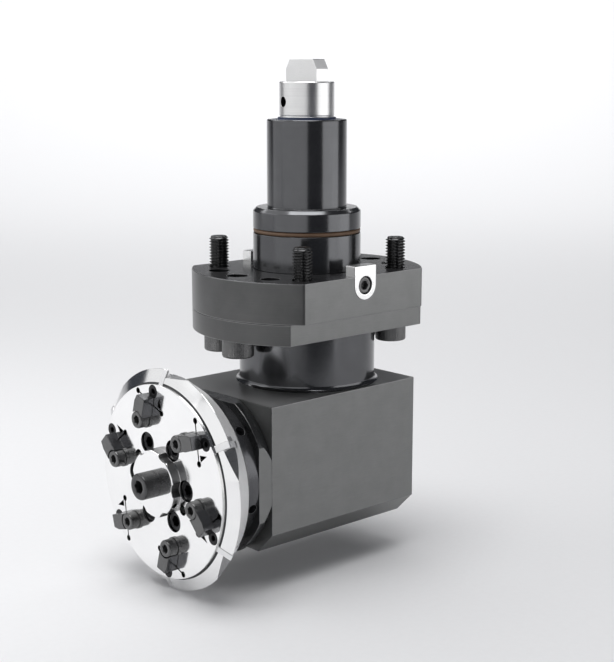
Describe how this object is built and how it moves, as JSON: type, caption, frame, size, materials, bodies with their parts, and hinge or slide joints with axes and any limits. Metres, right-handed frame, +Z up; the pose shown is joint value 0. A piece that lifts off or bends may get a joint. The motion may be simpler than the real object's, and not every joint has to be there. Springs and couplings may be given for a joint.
{
  "type": "live tool holder",
  "caption": "Right-angle live tool holder for a lathe turret: flanged shank with a driven tang, bevel-gear housing and a spindle nose carrying a polygon cutter with clamped inserts.",
  "frame": {"origin": "on the shank's axis, in the flange's top face that seats against the turret", "axes": "+Z up along the shank toward the drive tang, -Y along the spindle toward the cutter, +X across the block's large side face"},
  "size_m": [0.109, 0.1669, 0.2545],
  "materials": {
    "black_oxide": "ground steel blackened in a hot oxide bath",
    "bright_steel": "ground bright steel",
    "polished_steel": "fine turned and polished, nickel plated",
    "key_steel": "ground",
    "black_ring": "blackened and oiled",
    "black_screw": "blackened cap screw",
    "clamp_steel": "hardened and blackened",
    "carbide": "ground hard metal",
    "o_ring_rubber": "brown fluororubber",
    "seal_rubber": "blue seal lip",
    "bearing_steel": "ground bearing steel",
    "gear_steel": "case hardened and ground"
  },
  "bodies": {
    "holder": {"flange_dowels": "key_steel", "front_bearing_balls": "bearing_steel", "front_bearing_outer": "bearing_steel", "gearbox_housing": "black_oxide", "housing_screws": "black_screw", "input_bearing_balls": "bearing_steel", "input_bearing_outer": "bearing_steel", "key_screws": "black_screw", "locating_key_left": "key_steel", "locating_key_right": "key_steel", "needle_rollers": "bearing_steel", "needle_shell": "bearing_steel", "nose_cap": "black_oxide", "nose_cap_screws": "black_screw", "nose_ring": "black_ring", "nose_seal": "seal_rubber", "rear_bearing_balls": "bearing_steel", "rear_bearing_outer": "bearing_steel", "rear_cover": "black_oxide", "rear_cover_screws": "black_screw", "shank_flange": "black_oxide", "shank_o_ring": "o_ring_rubber", "shank_seal": "seal_rubber", "turret_screws": "black_screw"},
    "drive_train": {"drive_shaft": "bright_steel", "input_gear": "gear_steel", "input_gear_key": "key_steel", "input_bearing_inner": "bearing_steel", "gear_washer": "bright_steel", "gear_screw": "black_screw"},
    "cutter_spindle": {"spindle": "bright_steel", "output_gear": "gear_steel", "output_gear_key": "key_steel", "front_bearing_inner": "bearing_steel", "rear_bearing_inner": "bearing_steel", "spindle_spacer": "bright_steel", "spindle_locknut": "bright_steel", "cutter_body": "polished_steel", "cutter_clamp_ring": "bright_steel", "arbor_screw": "black_screw", "cutter_screws": "black_screw", "clamp_screws": "black_screw", "locking_screws": "black_screw", "cutter_insert_1": "carbide", "cutter_insert_2": "carbide", "cutter_insert_3": "carbide", "cutter_insert_4": "carbide", "cutter_insert_5": "carbide", "cutter_insert_6": "carbide", "insert_clamp_1": "clamp_steel", "insert_clamp_2": "clamp_steel", "insert_clamp_3": "clamp_steel", "insert_clamp_4": "clamp_steel", "insert_clamp_5": "clamp_steel", "insert_clamp_6": "clamp_steel"}
  },
  "joints": [
    {"name": "spindle_turn", "type": "hinge", "parent": "holder", "child": "cutter_spindle", "pos_m": [0, 0, -0.0953], "axis": [0, 1, 0], "continuous": true},
    {"name": "drive_turn", "type": "hinge", "parent": "holder", "child": "drive_train", "pos_m": [0, 0, 0], "axis": [0, 0, 1], "continuous": true}
  ],
  "couplings": [
    {"joint": "drive_turn", "follows": "spindle_turn", "ratio": 1}
  ]
}
